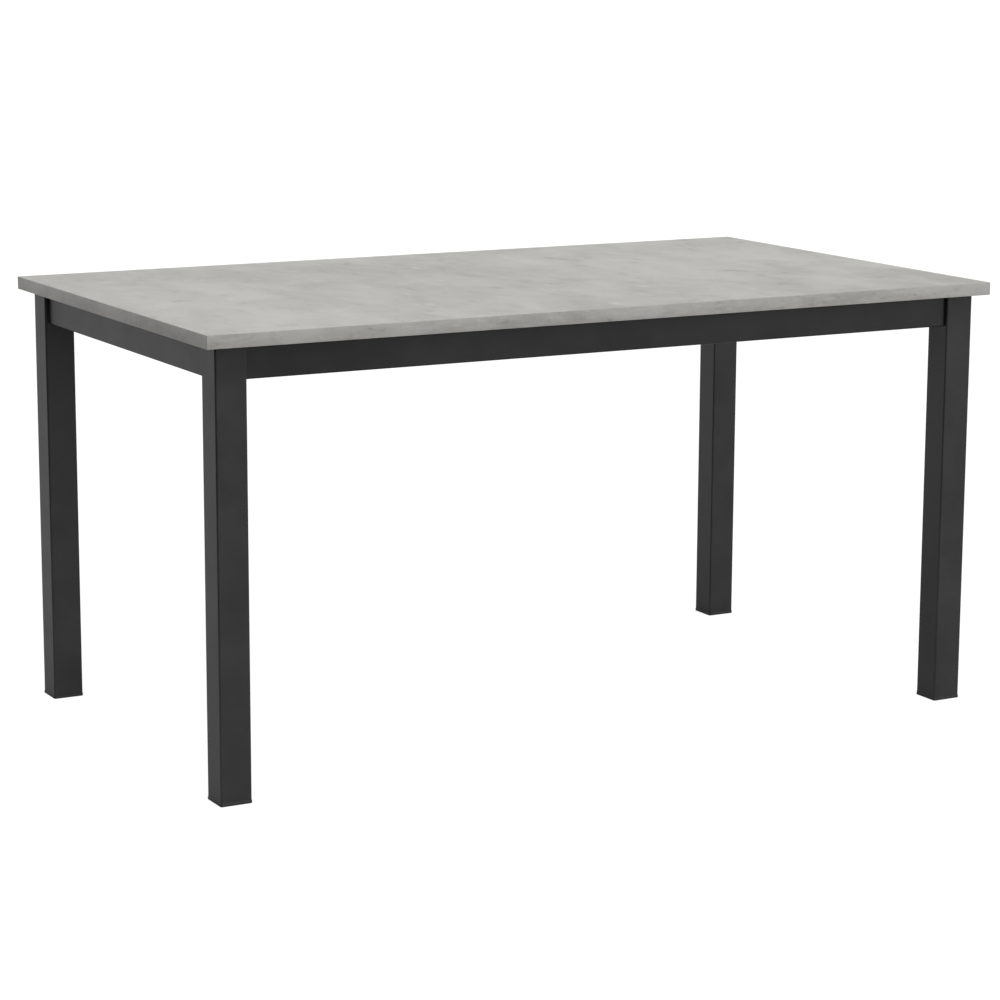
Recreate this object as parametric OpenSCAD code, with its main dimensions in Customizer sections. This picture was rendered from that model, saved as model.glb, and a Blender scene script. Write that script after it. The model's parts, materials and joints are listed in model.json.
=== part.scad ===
// Extendable dining table: a fixed table with a one-piece top, a pull-out
// support frame at each end and two loose leaves stored under the top.
// +X runs along the length, +Y to the back, +Z up.
// The origin is on the floor, under the middle of the top.

/* [Top and leaves] */
// Length of the table top along X, closed
top_l = 1500; // [1250:10:1900]
// Width of the table top along Y
top_w = 850; // [700:10:1040]
// Height of the table top's surface above the floor
table_h = 760; // [700:5:800]
// Thickness of the top and of the leaves
board_t = 22; // [16:1:28]
// Thickness of the edging strips
edging_t = 1; // [0.5:0.5:2]
// How far the top stands out past the legs
overhang = 22; // [5:1:60]

/* [Legs and feet] */
// Width of the square leg tube
leg_w = 54; // [40:1:80]
// Wall of the leg tube
leg_wall = 2; // [1.5:0.5:4]
// Outer corner radius of the leg tube
leg_r = 3; // [2.5:0.5:6]
// Height of the foot's visible rim
foot_rim_h = 5; // [3:1:10]
// How far the foot's rim stands out past the leg
foot_rim_out = 0.8; // [0:0.1:2]
// Length of the foot's plug inside the leg
foot_plug_h = 20; // [10:1:40]
// Thickness of the plate that closes the leg's top
leg_plate_t = 3; // [2:1:5]

/* [Aprons and braces] */
// Height of the apron tubes
apron_h = 55; // [45:1:90]
// Thickness of the apron tubes
apron_t = 20; // [18:1:30]
// Wall of the apron, brace and rail tubes
tube_wall = 1.5; // [1:0.5:3]
// Outer corner radius of the apron, brace and rail tubes
tube_r = 2; // [1.5:0.5:4]
// How far the aprons sit back from the legs' outer faces
apron_setback = 7; // [2:1:20]
// Gap between an apron's end and the leg
apron_gap = 1; // [0.5:0.5:3]
// Side of the square cross brace tube
brace_w = 20; // [15:1:30]

/* [Fixings] */
// Thickness of the steel brackets and plates
bracket_t = 3; // [2:0.5:5]
// Length of a corner bracket along the apron
bracket_l = 45; // [35:1:80]
// Height of a corner bracket
bracket_h = 45; // [35:1:50]
// Radius of the bolts' shanks
bolt_r = 3; // [2:0.5:4]
// Radius of the bolts' heads
bolt_head_r = 5; // [4:0.5:7]
// Height of the bolts' heads
bolt_head_h = 3.3; // [2:0.1:5]
// Radius of the wood screws' shanks
screw_r = 2; // [1.5:0.25:3]
// Radius of the wood screws' heads
screw_head_r = 4; // [3:0.25:5.5]
// Height of the wood screws' heads
screw_head_h = 2; // [1:0.1:2.5]
// Depth that a wood screw goes into the top
screw_depth = 13; // [8:1:15]
// Size of a fixing lug along the apron
lug_l = 30; // [20:1:50]

/* [Pull-out frames] */
// Width of the rail tube
rail_w = 25; // [20:1:40]
// Height of the rail tube
rail_h = 20; // [16:1:30]
// Space beside the rail inside the channel
rail_side_gap = 2; // [1.5:0.5:4]
// Space above and below the rail inside the channel
rail_top_gap = 3; // [2.5:0.5:5]
// Wall of the guide channel
channel_wall = 2; // [1.5:0.5:3]
// Height of the channel's lips
channel_lip = 8; // [6:1:9]
// Space between the channel and the legs
channel_side_gap = 2; // [1:0.5:6]
// Distance from the end apron to the channel's end
channel_setback = 11; // [10:1:20]
// Length of the nylon slider on a rail's end
slider_l = 25; // [15:1:50]
// Length of the nylon guide inside the channel's mouth
guide_l = 30; // [20:1:60]
// Distance from the table's middle to a slider at rest
slider_mid = 60; // [30:5:150]
// How deep the slider's plug goes into the rail
slider_plug_l = 20; // [10:1:30]

/* [Leaf storage] */
// Gap between the two stored leaves
leaf_mid_gap = 8; // [4:1:20]
// Gap between a stored leaf and the long apron
leaf_side_gap = 12; // [6:1:30]
// Gap between a stored leaf and the channels above it
leaf_top_gap = 1; // [0.5:0.5:5]
// Width of a spring clip
clip_w = 30; // [20:1:50]
// Thickness of a spring clip's strip
clip_t = 1.5; // [1:0.5:3]
// Length of a clip's foot under the top
clip_foot_l = 38; // [25:1:60]
// Thickness of the felt on a clip
felt_t = 3; // [2:0.5:6]
// Radius of the spacers over a stored leaf
spacer_r = 14; // [10:1:25]
// Radius of the rubber pads under a leaf
pad_r = 10; // [6:1:12]
// Distance from a leaf's long edge to its pads' middles
pad_inset = 40; // [20:1:80]

/* [Hidden] */
$fn = 32;
eps = 0.01;          // overlap that keeps a cut clean
clear = 0.3;         // running clearance between moving pieces
bolt_clear = 0.2;    // clearance round a bolt's shank
plug_clear = 0.2;    // clearance round a plug inside a tube
end_top_gap = 0.5;   // gap between an end apron and the top

under_z = table_h - board_t;
apron_z = under_z - apron_h;
apron_mid_z = under_z - apron_h / 2;
leg_out_x = top_l / 2 - overhang;
leg_out_y = top_w / 2 - overhang;
leg_in_x = leg_out_x - leg_w;
leg_in_y = leg_out_y - leg_w;
leg_mid_x = leg_out_x - leg_w / 2;
leg_mid_y = leg_out_y - leg_w / 2;
leg_h = under_z - foot_rim_h;

apron_out_y = leg_out_y - apron_setback;
apron_in_y = apron_out_y - apron_t;
end_out_x = leg_out_x - apron_setback;
end_in_x = end_out_x - apron_t;
end_h = apron_h - end_top_gap;

channel_w = rail_w + 2 * (rail_side_gap + channel_wall);
channel_h = rail_h + 2 * (rail_top_gap + channel_wall);
channel_out_y = leg_in_y - channel_side_gap;
channel_in_y = channel_out_y - channel_w;
channel_end_x = end_in_x - channel_setback;
channel_z = under_z - channel_h;
rail_y = channel_out_y - channel_w / 2;
rail_z = under_z - channel_h / 2;
rail_top_z = rail_z + rail_h / 2;

brace_z = channel_z - brace_w / 2;             // the channels rest on the braces
brace_bolt_d = brace_w / 2 + bolt_head_r + 1;  // from the brace's middle to its bolts
brace_plate_l = 2 * (brace_bolt_d + bolt_head_r + 1);
brace_x = leg_in_x - bracket_l - brace_plate_l / 2 - 5;
plate_in_y = channel_in_y - 22;    // inner edge of a rail's end plate
plate_low_z = channel_z - 20;      // lower edge of a rail's end plate

leaf_l = top_w;
leaf_w = apron_in_y - leaf_side_gap - leaf_mid_gap / 2;
leaf_top_z = channel_z - leaf_top_gap;
leaf_mid_z = leaf_top_z - board_t / 2;
leaf_mid_y = (leaf_mid_gap + leaf_w) / 2;
travel = leaf_w;                   // each frame comes out by one leaf's width
rail_in_x = slider_mid + slider_l;
stop_x = rail_in_x + travel + bolt_r + 0.5;

bracket_bolt_y = (apron_in_y + leg_in_y - bracket_t) / 2;
bracket_bolt_x = leg_in_x - bracket_l + 14;
bracket_bolt_zs = [apron_mid_z - 12, apron_mid_z + 12];
rail_plate_bolts = [
    [plate_in_y + 12, rail_z], [plate_in_y + 12, plate_low_z + 10], [rail_y, plate_low_z + 10]
];
lug_w = apron_in_y - leg_in_y - 1;
lug_xs = [-0.3 * top_l, 0, 0.3 * top_l];
lug_y = apron_in_y - lug_w / 2;
channel_screw_xs = [
    -(channel_end_x - 50), -(stop_x + 26), 0, stop_x + 26, channel_end_x - 50
];
clip_x = leaf_l / 2 + clear + felt_t;      // inner face of a clip's strip
clip_ys = [leaf_mid_y - 0.28 * leaf_w, leaf_mid_y + 0.28 * leaf_w];
clip_screw_x = clip_x + clip_foot_l - 12;
spacer_h = under_z - leaf_top_z - clear;
spacer_x = 0.34 * leaf_l;

// ---- helpers ----

// The shape is drawn at +X +Y and mirrored to the side asked for.
module side(x, y = 1) mirror([x < 0 ? 1 : 0, 0, 0]) mirror([0, y < 0 ? 1 : 0, 0]) children();

module along_x(l) rotate([90, 0, 90]) linear_extrude(l, center = true) children();
module along_y(l) rotate([90, 0, 0]) linear_extrude(l, center = true) children();

module round_rect(w, h, r) {
    square([w - 2 * r, h], center = true);
    square([w, h - 2 * r], center = true);
    for (x = [-1, 1], y = [-1, 1])
        translate([x * (w / 2 - r), y * (h / 2 - r)]) circle(r);
}

module tube_profile(w, h, r, wall) {
    difference() {
        round_rect(w, h, r);
        round_rect(w - 2 * wall, h - 2 * wall, max(r - wall, 0.5));
    }
}

// A box given by its lowest and highest corners.
module block(lo, hi) translate(lo) cube(hi - lo);

module hole_x(r, l) rotate([0, 90, 0]) cylinder(h = l, r = r, center = true);
module hole_y(r, l) rotate([90, 0, 0]) cylinder(h = l, r = r, center = true);

// A bolt with its head's underside at the origin and its shank along +Z.
module bolt(l) {
    translate([0, 0, -bolt_head_h]) cylinder(h = bolt_head_h, r = bolt_head_r);
    cylinder(h = l, r = bolt_r);
}

// A wood screw, head below the origin, shank up into the top.
module wood_screw(l) {
    translate([0, 0, -screw_head_h]) cylinder(h = screw_head_h, r = screw_head_r);
    cylinder(h = l, r = screw_r);
}

// The places, seen from above, where wood screws enter the top.
function lug_spots() = [for (s = [-1, 1], x = lug_xs) [x, s * lug_y]];
function channel_spots() = [for (s = [-1, 1], x = channel_screw_xs) [x, s * rail_y]];
function clip_spots() = [for (a = [-1, 1], b = [-1, 1], y = clip_ys) [a * clip_screw_x, b * y]];
function spacer_spots() = [for (a = [-1, 1], b = [-1, 1], y = clip_ys) [a * spacer_x, b * y]];
function all_spots() = concat(lug_spots(), channel_spots(), clip_spots(), spacer_spots());

// ---- top ----

module top_board() {
    color("#bbbbb6") difference() {
        translate([0, 0, table_h - board_t / 2])
            cube([top_l - 2 * edging_t, top_w - 2 * edging_t, board_t], center = true);
        for (p = all_spots())
            translate([p[0], p[1], under_z - eps]) cylinder(h = screw_depth + 1, r = screw_r + eps);
    }
}

module long_edging(y) {
    color("#929390") side(1, y)
        block([-top_l / 2, top_w / 2 - edging_t, under_z], [top_l / 2, top_w / 2, table_h]);
}

module short_edging(x) {
    color("#929390") side(x) block(
        [top_l / 2 - edging_t, -top_w / 2 + edging_t, under_z],
        [top_l / 2, top_w / 2 - edging_t, table_h]);
}

// ---- legs and feet ----

module leg(x, y) {
    color("#26282a") side(x, y) difference() {
        translate([leg_mid_x, leg_mid_y, foot_rim_h])
            linear_extrude(leg_h) tube_profile(leg_w, leg_w, leg_r, leg_wall);
        for (z = bracket_bolt_zs)
            translate([leg_in_x + leg_wall / 2, bracket_bolt_y, z])
                hole_x(bolt_r + bolt_clear, leg_wall + 2);
    }
}

module foot(x, y) {
    inner_w = leg_w - 2 * (leg_wall + plug_clear);
    rim_w = leg_w + 2 * foot_rim_out;
    color("#151515") side(x, y) translate([leg_mid_x, leg_mid_y, 0]) {
        linear_extrude(foot_rim_h) round_rect(rim_w, rim_w, leg_r + foot_rim_out);
        translate([0, 0, foot_rim_h - eps])
            linear_extrude(foot_plug_h) tube_profile(inner_w, inner_w, 1.5, 2.5);
    }
}

module leg_top_plates() {
    plate_w = leg_w - 2 * (leg_wall + plug_clear);
    color("#26282a") for (x = [-1, 1], y = [-1, 1])
        side(x, y) translate([leg_mid_x, leg_mid_y, under_z - leg_plate_t])
            linear_extrude(leg_plate_t) round_rect(plate_w, plate_w, 1.5);
}

// ---- fixed frame ----

module long_apron(y) {
    color("#26282a") side(1, y) difference() {
        translate([0, apron_in_y + apron_t / 2, apron_mid_z])
            along_x(2 * (leg_in_x - apron_gap)) tube_profile(apron_t, apron_h, tube_r, tube_wall);
        for (x = [-1, 1], z = bracket_bolt_zs)
            translate([x * bracket_bolt_x, apron_in_y + tube_wall / 2, z])
                hole_y(bolt_r + bolt_clear, tube_wall + 2);
        for (x = [-1, 1], d = [-1, 1])
            translate([x * (brace_x + d * brace_bolt_d), apron_in_y + tube_wall / 2, brace_z])
                hole_y(bolt_r + bolt_clear, tube_wall + 2);
    }
}

// A square tube under the channels, with a bolted plate on each end.
module brace(x) {
    color("#26282a") side(x) difference() {
        union() {
            translate([brace_x, 0, brace_z])
                along_y(2 * (apron_in_y - bracket_t)) tube_profile(brace_w, brace_w, tube_r, tube_wall);
            for (y = [-1, 1])
                translate([brace_x, y * (apron_in_y - bracket_t / 2), brace_z])
                    cube([brace_plate_l, bracket_t, brace_w], center = true);
        }
        for (y = [-1, 1], d = [-1, 1])
            translate([brace_x + d * brace_bolt_d, y * (apron_in_y - bracket_t / 2), brace_z])
                hole_y(bolt_r + bolt_clear, bracket_t + 2);
    }
}

module corner_bracket(x, y) {
    low_z = apron_mid_z - bracket_h / 2;
    high_z = apron_mid_z + bracket_h / 2;
    color("#8f9396") side(x, y) difference() {
        union() {
            block([leg_in_x - bracket_l, apron_in_y - bracket_t, low_z], [leg_in_x, apron_in_y, high_z]);
            block([leg_in_x - bracket_t, leg_in_y + 1, low_z], [leg_in_x, apron_in_y, high_z]);
        }
        for (z = bracket_bolt_zs) {
            translate([bracket_bolt_x, apron_in_y - bracket_t / 2, z])
                hole_y(bolt_r + bolt_clear, bracket_t + 2);
            translate([leg_in_x - bracket_t / 2, bracket_bolt_y, z])
                hole_x(bolt_r + bolt_clear, bracket_t + 2);
        }
    }
}

module frame_bolts() {
    grip = bracket_t + 9;
    color("#a4a7aa") for (x = [-1, 1], y = [-1, 1]) side(x, y) {
        for (z = bracket_bolt_zs) {
            translate([bracket_bolt_x, apron_in_y - bracket_t, z]) rotate([-90, 0, 0]) bolt(grip);
            translate([leg_in_x - bracket_t, bracket_bolt_y, z]) rotate([0, 90, 0]) bolt(grip);
        }
        for (d = [-1, 1])
            translate([brace_x + d * brace_bolt_d, apron_in_y - bracket_t, brace_z])
                rotate([-90, 0, 0]) bolt(grip);
    }
}

module top_lugs() {
    color("#26282a") difference() {
        for (p = lug_spots())
            translate([p[0], p[1], under_z - bracket_t / 2])
                cube([lug_l, lug_w, bracket_t], center = true);
        for (p = lug_spots())
            translate([p[0], p[1], under_z - bracket_t / 2])
                cylinder(h = bracket_t + 2, r = screw_r + bolt_clear, center = true);
    }
}

module top_screws() {
    color("#a4a7aa") for (p = lug_spots())
        translate([p[0], p[1], under_z - bracket_t]) wood_screw(bracket_t + screw_depth);
}

// ---- guide channels ----

// The channel is open towards the table's middle.
module channel_profile() {
    square([channel_w, channel_wall]);
    translate([0, channel_h - channel_wall]) square([channel_w, channel_wall]);
    translate([channel_w - channel_wall, 0]) square([channel_wall, channel_h]);
    square([channel_wall, channel_lip]);
    translate([0, channel_h - channel_lip]) square([channel_wall, channel_lip]);
}

module channel(y) {
    color("#9a9d9f") side(1, y) difference() {
        translate([0, channel_in_y, channel_z]) along_x(2 * channel_end_x) channel_profile();
        for (x = channel_screw_xs) {
            translate([x, rail_y, under_z - channel_wall / 2])
                cylinder(h = channel_wall + 2, r = screw_r + bolt_clear, center = true);
            translate([x, rail_y, channel_z + channel_wall / 2])
                cylinder(h = channel_wall + 2, r = screw_head_r + 2, center = true);
        }
        for (x = [-1, 1])
            translate([x * stop_x, rail_y, channel_z + channel_wall / 2])
                cylinder(h = channel_wall + 2, r = bolt_r + bolt_clear, center = true);
    }
}

module channel_screws() {
    color("#a4a7aa") for (p = channel_spots())
        translate([p[0], p[1], under_z - channel_wall]) wood_screw(channel_wall + screw_depth);
}

// A nylon frame in the channel's mouth: its rim stops the closing frame.
module mouth_guide(x, y) {
    rim_t = channel_setback - bracket_t - clear;
    inner_w = channel_w - 2 * (channel_wall + clear);
    inner_h = channel_h - 2 * (channel_wall + clear);
    color("#e6e3da") side(x, y) translate([channel_end_x, rail_y, rail_z]) difference() {
        union() {
            translate([rim_t / 2, 0, 0]) cube([rim_t, channel_w, channel_h], center = true);
            translate([-guide_l / 2, 0, 0]) cube([guide_l + eps, inner_w, inner_h], center = true);
        }
        cube([2 * (guide_l + rim_t), rail_w + 2 * clear, rail_h + 2 * clear], center = true);
    }
}

// A low bolt in the channel's floor: the slider meets it at full travel.
module rail_stops() {
    color("#a4a7aa") for (x = [-1, 1], y = [-1, 1])
        side(x, y) translate([stop_x, rail_y, channel_z])
            bolt(channel_wall + rail_top_gap - 2 * clear);
}

// ---- pull-out frames ----

module end_apron(x) {
    color("#26282a") side(x) difference() {
        translate([end_in_x + apron_t / 2, 0, apron_z + end_h / 2])
            along_y(2 * (leg_in_y - apron_gap)) tube_profile(apron_t, end_h, tube_r, tube_wall);
        for (y = [-1, 1], p = rail_plate_bolts)
            translate([end_in_x + tube_wall / 2, y * p[0], p[1]])
                hole_x(bolt_r + bolt_clear, tube_wall + 2);
    }
}

// The rail tube with the plate welded on its outer end.
module rail(x, y) {
    plate_x = end_in_x - bracket_t;
    color("#26282a") side(x, y) {
        translate([(rail_in_x + plate_x) / 2, rail_y, rail_z])
            along_x(plate_x - rail_in_x) tube_profile(rail_w, rail_h, tube_r, tube_wall);
        difference() {
            block([plate_x, plate_in_y, plate_low_z], [end_in_x, channel_out_y, under_z - 3]);
            for (p = rail_plate_bolts)
                translate([plate_x + bracket_t / 2, p[0], p[1]])
                    hole_x(bolt_r + bolt_clear, bracket_t + 2);
        }
    }
}

// A nylon head that runs in the channel, with a plug in the rail's end.
module slider(x, y) {
    head_w = channel_w - 2 * (channel_wall + clear);
    head_h = channel_h - 2 * (channel_wall + clear);
    plug_w = rail_w - 2 * (tube_wall + plug_clear);
    plug_h = rail_h - 2 * (tube_wall + plug_clear);
    color("#e6e3da") side(x, y) translate([rail_in_x, rail_y, rail_z]) {
        translate([-slider_l / 2, 0, 0]) along_x(slider_l) round_rect(head_w, head_h, 2);
        translate([slider_plug_l / 2, 0, 0]) along_x(slider_plug_l + eps) round_rect(plug_w, plug_h, 1);
    }
}

module end_bolts(x) {
    color("#a4a7aa") for (y = [-1, 1], p = rail_plate_bolts)
        side(x, y) translate([end_in_x - bracket_t, p[0], p[1]]) rotate([0, 90, 0]) bolt(bracket_t + 9);
}

// ---- leaves and their storage ----

module leaf_board(y) {
    color("#bbbbb6") side(1, y) translate([0, leaf_mid_y, leaf_mid_z])
        cube([leaf_l - 2 * edging_t, leaf_w - 2 * edging_t, board_t], center = true);
}

module leaf_edging(y) {
    color("#929390") side(1, y) translate([0, leaf_mid_y, leaf_mid_z]) {
        for (s = [-1, 1]) {
            translate([0, s * (leaf_w - edging_t) / 2, 0])
                cube([leaf_l - 2 * edging_t - 2 * eps, edging_t, board_t], center = true);
            translate([s * (leaf_l - edging_t) / 2, 0, 0])
                cube([edging_t, leaf_w, board_t], center = true);
        }
    }
}

// Rubber pads that rest on the rails when the leaf is in use.
module leaf_pads(y) {
    pad_t = under_z - rail_top_z;
    color("#1b1b1b") for (a = [-1, 1], b = [-1, 1])
        side(1, y) translate([a * rail_y, leaf_mid_y + b * (leaf_w / 2 - pad_inset), leaf_mid_z - board_t / 2 - pad_t])
            cylinder(h = pad_t, r = pad_r);
}

// A strip bent to a foot under the top and a leg beside the leaf's end.
module clip_profile() {
    low = leaf_mid_z - board_t / 2 - under_z;
    polygon([
        [0, 0], [clip_foot_l, 0], [clip_foot_l, -clip_t], [clip_t, -clip_t], [clip_t, low + 2],
        [clip_t + 3, low - 5], [3, low - 5], [0, low + 2]
    ]);
}

module clips(x) {
    color("#a4a7aa") difference() {
        for (y = [-1, 1], cy = clip_ys)
            side(x, y) translate([clip_x, cy, under_z]) along_y(clip_w) clip_profile();
        for (p = clip_spots())
            translate([p[0], p[1], under_z - clip_t / 2])
                cylinder(h = clip_t + 2, r = screw_r + bolt_clear, center = true);
    }
}

module clip_felts() {
    color("#3a3d40") for (x = [-1, 1], y = [-1, 1], cy = clip_ys)
        side(x, y) translate([clip_x - felt_t / 2, cy, leaf_mid_z])
            cube([felt_t, clip_w - 4, board_t - 4], center = true);
}

module clip_screws() {
    color("#a4a7aa") for (p = clip_spots())
        translate([p[0], p[1], under_z - clip_t]) wood_screw(clip_t + screw_depth);
}

// Spacers that the stored leaf is pushed up against.
module leaf_spacers() {
    color("#1b1b1b") difference() {
        for (p = spacer_spots())
            translate([p[0], p[1], under_z - spacer_h]) cylinder(h = spacer_h, r = spacer_r);
        for (p = spacer_spots()) {
            translate([p[0], p[1], under_z - spacer_h - 1]) cylinder(h = spacer_h + 2, r = screw_r + bolt_clear);
            translate([p[0], p[1], under_z - spacer_h - 1]) cylinder(h = spacer_h - 2, r = screw_head_r + bolt_clear);
        }
    }
}

module spacer_screws() {
    color("#a4a7aa") for (p = spacer_spots())
        translate([p[0], p[1], under_z - 3]) wood_screw(3 + screw_depth);
}

// ---- nodes ----

top_board();
long_edging(-1);  // edging_front
long_edging(1);  // edging_back
short_edging(-1);  // edging_left
short_edging(1);  // edging_right
leg(-1, -1);  // leg_front_left
leg(1, -1);  // leg_front_right
leg(-1, 1);  // leg_back_left
leg(1, 1);  // leg_back_right
foot(-1, -1);  // foot_front_left
foot(1, -1);  // foot_front_right
foot(-1, 1);  // foot_back_left
foot(1, 1);  // foot_back_right
leg_top_plates();
long_apron(-1);  // apron_front
long_apron(1);  // apron_back
brace(-1);  // brace_left
brace(1);  // brace_right
corner_bracket(-1, -1);  // bracket_front_left
corner_bracket(1, -1);  // bracket_front_right
corner_bracket(-1, 1);  // bracket_back_left
corner_bracket(1, 1);  // bracket_back_right
top_lugs();
frame_bolts();
top_screws();
channel(-1);  // channel_front
channel(1);  // channel_back
mouth_guide(-1, -1);  // guide_front_left
mouth_guide(1, -1);  // guide_front_right
mouth_guide(-1, 1);  // guide_back_left
mouth_guide(1, 1);  // guide_back_right
channel_screws();
rail_stops();
end_apron(-1);  // end_apron_left
end_apron(1);  // end_apron_right
rail(-1, -1);  // rail_front_left
rail(1, -1);  // rail_front_right
rail(-1, 1);  // rail_back_left
rail(1, 1);  // rail_back_right
slider(-1, -1);  // slider_front_left
slider(1, -1);  // slider_front_right
slider(-1, 1);  // slider_back_left
slider(1, 1);  // slider_back_right
end_bolts(-1);  // end_bolts_left
end_bolts(1);  // end_bolts_right
leaf_board(-1);  // leaf_front_board
leaf_board(1);  // leaf_back_board
leaf_edging(-1);  // leaf_front_edging
leaf_edging(1);  // leaf_back_edging
leaf_pads(-1);  // leaf_front_pads
leaf_pads(1);  // leaf_back_pads
clips(-1);  // clips_left
clips(1);  // clips_right
clip_felts();
clip_screws();
leaf_spacers();
spacer_screws();
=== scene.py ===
import bpy
import bmesh
import json
import math
from mathutils import Matrix, Vector


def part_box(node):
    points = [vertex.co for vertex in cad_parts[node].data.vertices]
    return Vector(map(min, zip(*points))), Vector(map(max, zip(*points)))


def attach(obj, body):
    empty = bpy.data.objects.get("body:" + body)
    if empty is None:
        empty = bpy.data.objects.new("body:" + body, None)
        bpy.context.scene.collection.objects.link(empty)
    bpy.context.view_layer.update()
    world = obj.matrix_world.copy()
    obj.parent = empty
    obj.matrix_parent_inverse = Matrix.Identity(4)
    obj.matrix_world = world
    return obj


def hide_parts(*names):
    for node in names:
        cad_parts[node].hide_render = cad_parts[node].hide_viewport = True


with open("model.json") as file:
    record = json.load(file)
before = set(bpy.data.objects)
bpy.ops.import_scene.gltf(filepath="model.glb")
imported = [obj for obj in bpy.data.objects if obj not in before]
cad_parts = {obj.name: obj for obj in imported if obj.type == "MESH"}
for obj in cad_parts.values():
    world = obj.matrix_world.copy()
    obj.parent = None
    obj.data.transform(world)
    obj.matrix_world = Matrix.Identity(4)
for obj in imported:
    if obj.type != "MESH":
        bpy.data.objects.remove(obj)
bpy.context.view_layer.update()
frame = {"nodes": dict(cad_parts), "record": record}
mm = 0.001
tiny = 0.01 * mm
noiseLow, noiseHigh = 0.35, 0.65   # most of a noise texture's values lie between these
print("frame loaded:", len(frame["nodes"]), "nodes")


# ---- small tools ----

def toLinear(hexColour):
    # sRGB hex to the linear values that the sockets hold
    parts = [int(hexColour[i:i + 2], 16) / 255 for i in (1, 3, 5)]
    return [c / 12.92 if c <= 0.04045 else ((c + 0.055) / 1.055) ** 2.4 for c in parts] + [1.0]


def addNode(tree, kind, settings=None, values=None, stops=None):
    # a value may be a constant, a socket, or a node, which stands for its first live output
    node = tree.nodes.new("ShaderNode" + kind)
    for key, value in (settings or {}).items():
        setattr(node, key, value)
    for key, value in (values or {}).items():
        if isinstance(value, bpy.types.Node):
            value = next(out for out in value.outputs if out.enabled)
        if isinstance(value, bpy.types.NodeSocket):
            tree.links.new(value, node.inputs[key])
        else:
            node.inputs[key].default_value = value
    for place, colour in (stops or []):
        node.color_ramp.elements.new(place).color = colour
    if stops:
        node.color_ramp.elements.remove(node.color_ramp.elements[0])
        node.color_ramp.elements.remove(node.color_ramp.elements[-1])
    return node


def startMaterial(name):
    material = bpy.data.materials.new(name)
    material.use_nodes = True
    tree = material.node_tree
    tree.nodes.clear()
    shader = addNode(tree, "BsdfPrincipled")
    addNode(tree, "OutputMaterial", values={"Surface": shader})
    return material, tree, shader, addNode(tree, "TexCoord")


def wireShader(tree, shader, sources):
    for socket, source in sources.items():
        tree.links.new(source, shader.inputs[socket])


# ---- concrete-effect boards and their edging ----

# Concrete-effect melamine: printed paper pressed in resin on chipboard. It gives a flat, matt,
# slightly warm grey with soft clouds, blotches and small printed stains, and hardly any relief.
concreteLook = {
    "dark": "#a6a5a0", "light": "#bab9b4", "stain": "#989691", "fleck": "#c2c1bc",
    "cloudSize": 300 * mm, "blotchSize": 105 * mm, "mottleSize": 32 * mm, "stainSize": 24 * mm,
    "stretch": (1, 0.55, 1),  # the print runs across the board
    "blotchShare": 0.55, "mottleShare": 0.28, "grainShare": 0.10, "tones": (0.42, 0.58),
    "stainFrom": 0.59, "stainTo": 0.72, "stainStrength": 0.8, "stainOnLight": 0.15,
    "fleckFrom": 0.38, "fleckTo": 0.26, "fleckStrength": 0.6,
    "grainSize": 2 * mm,     # the print's grain is finer, drawn coarser so that it shows
    "embossDepth": 0.04 * mm, "roughness": (0.46, 0.58),
}
# ABS edging: an extruded strip printed with the same concrete, drawn out along its length.
edgingLook = dict(concreteLook, **{
    "dark": "#979591", "light": "#aaa8a4", "stain": "#878581", "fleck": "#b5b3af",
    "cloudSize": 150 * mm, "blotchSize": 46 * mm, "mottleSize": 12 * mm, "stainSize": 9 * mm,
    "stretch": (0.55, 1, 1.6), "shift": (3.1, 1.7, 0.4), "roughness": (0.42, 0.52)})
# The board's back is a plain balancing film, and its sides are raw chipboard under the edging.
boardBack = {"film": "#b4b3af", "filmShade": "#a8a7a3", "fibreSize": 9 * mm,
             "chip": "#a98e68", "chipDark": "#7c6244", "chipSize": 2.5 * mm, "flatFrom": 0.5}


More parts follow.
